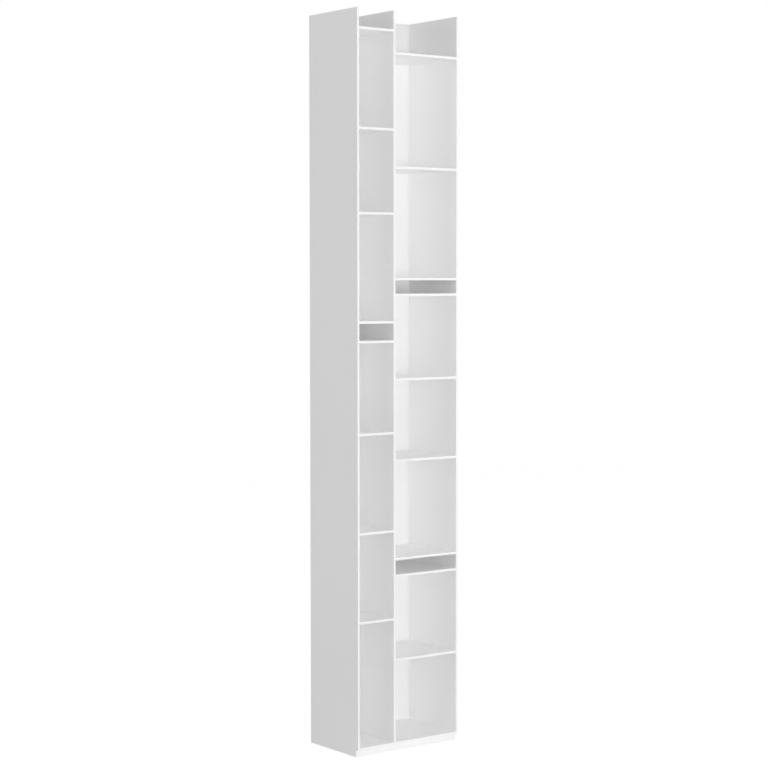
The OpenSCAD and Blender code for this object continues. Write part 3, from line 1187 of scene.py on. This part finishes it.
def mix_to_output(tree, share, first, second, output):
    """Send two shaders to the output, the second one with this share."""
    mix = tree.nodes.new("ShaderNodeMixShader")
    tree.links.new(share, mix.inputs["Fac"])
    tree.links.new(first.outputs[0], mix.inputs[1])
    tree.links.new(second.outputs[0], mix.inputs[2])
    tree.links.new(mix.outputs["Shader"], tree.nodes[output].inputs["Surface"])


# %% [markdown]
# ## Floor
# The floor is a plain pale sheet that takes the light and the shadow, but seen straight
# from the camera it is mostly a plain white, so that the ground melts into the
# background. The plain part is a little stronger than one, which makes up for the lit
# part that it is mixed with.

# %% Floor
FLOOR_SIZE = 14
FLOOR_TONES = ((0.81, 0.81, 0.81), (0.83, 0.83, 0.83))
PLAIN_SHARE = 0.88
PLAIN_STRENGTH = 1.08


def pale_floor():
    """A matt pale floor, mixed with plain white for the camera's rays."""
    material, tree, shader = tree_of("pale floor")
    skin = {"Peel Scale": 60, "Grit Scale": 400, "Tone Scale": 0.8}
    surface = place_group(tree, SPRAYED_SKIN, skin)
    colour = two_tones(tree, surface.outputs["Tone"], *FLOOR_TONES)
    tree.links.new(colour, shader.inputs["Base Color"])
    set_inputs(shader, {"Roughness": 0.9, "Specular IOR Level": 0.0})
    plain_white = tree.nodes.new("ShaderNodeEmission")
    set_inputs(plain_white, {"Strength": PLAIN_STRENGTH})
    share = tree.nodes.new("ShaderNodeMath")
    share.operation = "MULTIPLY"
    share.inputs[1].default_value = PLAIN_SHARE
    tree.links.new(white_to_camera(tree), share.inputs[0])
    mix_to_output(tree, share.outputs["Value"], shader, plain_white, "Material Output")
    return material


pick()
bpy.ops.mesh.primitive_plane_add(size=FLOOR_SIZE, location=(0, 0, 0))
floor = bpy.context.object
floor.name = "floor"
finish_with(pale_floor(), floor)
print("floor:", FLOOR_SIZE, "m square")

# %% [markdown]
# ## Light from all around
# The photograph has an even studio light: front edges are almost white, faces turned to
# the left are a light grey, and shelf tops and undersides lie between. A soft light from
# the whole world fills everything, while the camera sees the world as plain white.

# %% World
AROUND = 0.445
WHITE = (1, 1, 1, 1)

scene = bpy.context.scene
world = bpy.data.worlds.new("studio")
scene.world = world
world.use_nodes = True
sky = world.node_tree
around = sky.nodes["Background"]
set_inputs(around, {"Color": WHITE, "Strength": AROUND})
backdrop = sky.nodes.new("ShaderNodeBackground")
set_inputs(backdrop, {"Color": WHITE, "Strength": 1.0})
mix_to_output(sky, white_to_camera(sky), around, backdrop, "World Output")
print("light from all around:", AROUND)

# %% [markdown]
# ## Lamps
# One small lamp in front reaches the backs through the bays, one at the right makes the
# front edges bright, and a large one fills the left side. Two weak ones finish it: one by
# the camera looks into the slots, and one overhead lights the open tops. Their powers
# were weighed until the levels met the photograph's.

# %% Lamps
def softbox(name, heading, distance, height, size, power):
    """A square area light that faces the bookcase from a heading, 0 being the front."""
    light = bpy.data.lights.new(name, "AREA")
    light.shape = "SQUARE"
    light.size = size
    light.energy = power
    lamp = bpy.data.objects.new(name, light)
    angle = math.radians(heading)
    place = Vector((math.sin(angle) * distance, -math.cos(angle) * distance, height))
    middle = Vector((0, 0, cad_box[1][2] / 2))
    lamp.location = place
    lamp.rotation_euler = (middle - place).to_track_quat("-Z", "Y").to_euler()
    scene.collection.objects.link(lamp)


LAMPS = (  # name, heading in degrees, distance, height and size in metres, power in watts
    ("front lamp", 0, 7, 1.08, 1.2, 103),
    ("front right lamp", 42, 7, 1.08, 1.2, 110),
    ("left fill", -90, 6, 1.5, 3.5, 56),
    ("lamp beside the camera", -36.7, 6, 1.4, 1.2, 11),
    ("overhead lamp", 0, 1.5, 4.5, 2, 9),
)
for lamp in LAMPS:
    softbox(*lamp)
print("lamps:", [light.name for light in bpy.data.lights])

# %% [markdown]
# ## Light that keeps bouncing
# In a white bay the light goes from wall to wall many times before it is lost. Cycles
# stops diffuse light after four bounces, which leaves the thin slots far too dark. A
# stronger lamp would bleach the open bays instead, so the light is given more bounces.

# %% More bounces
BOUNCES = 16
scene.cycles.diffuse_bounces = BOUNCES
scene.cycles.max_bounces = BOUNCES
print("bounces:", scene.cycles.diffuse_bounces)

# %% [markdown]
# ## Camera
# The camera stands to the front left, a little above half the bookcase's height, and
# looks down very slightly. Its place, direction and lens come from measured edges of the
# photograph, so that every edge of the model falls on the same pixel.

# %% Camera
CAMERA_PLACE = (-3.50805, -4.69813, 1.38828)
CAMERA_HEADING = 36.7432  # degrees, as are the next two
CAMERA_TILT = 3.0538
CAMERA_ROLL = 0.0385
LENS_PIXELS = 1974.2
FRAME_PIXELS = 768
SENSOR_WIDTH = 36  # millimetres
FARTHEST_SEEN = 100  # metres

camera_data = bpy.data.cameras.new("camera")
camera = bpy.data.objects.new("camera", camera_data)
scene.collection.objects.link(camera)
scene.camera = camera
upright = (math.radians(90 - CAMERA_TILT), 0, math.radians(-CAMERA_HEADING))
aim = Euler(upright, "XYZ").to_matrix()
roll = Matrix.Rotation(math.radians(-CAMERA_ROLL), 3, "Z")
camera.location = CAMERA_PLACE
camera.rotation_euler = (aim @ roll).to_euler()
camera_data.sensor_width = SENSOR_WIDTH
camera_data.lens = LENS_PIXELS * SENSOR_WIDTH / FRAME_PIXELS
camera_data.clip_end = FARTHEST_SEEN
print("lens:", round(camera_data.lens, 2), "mm")

# %% [markdown]
# ## View and selection
# The render shows colours with the Standard view transform, and nothing is left selected
# at the end.

# %% View transform and selection
scene.view_settings.view_transform = "Standard"
pick()
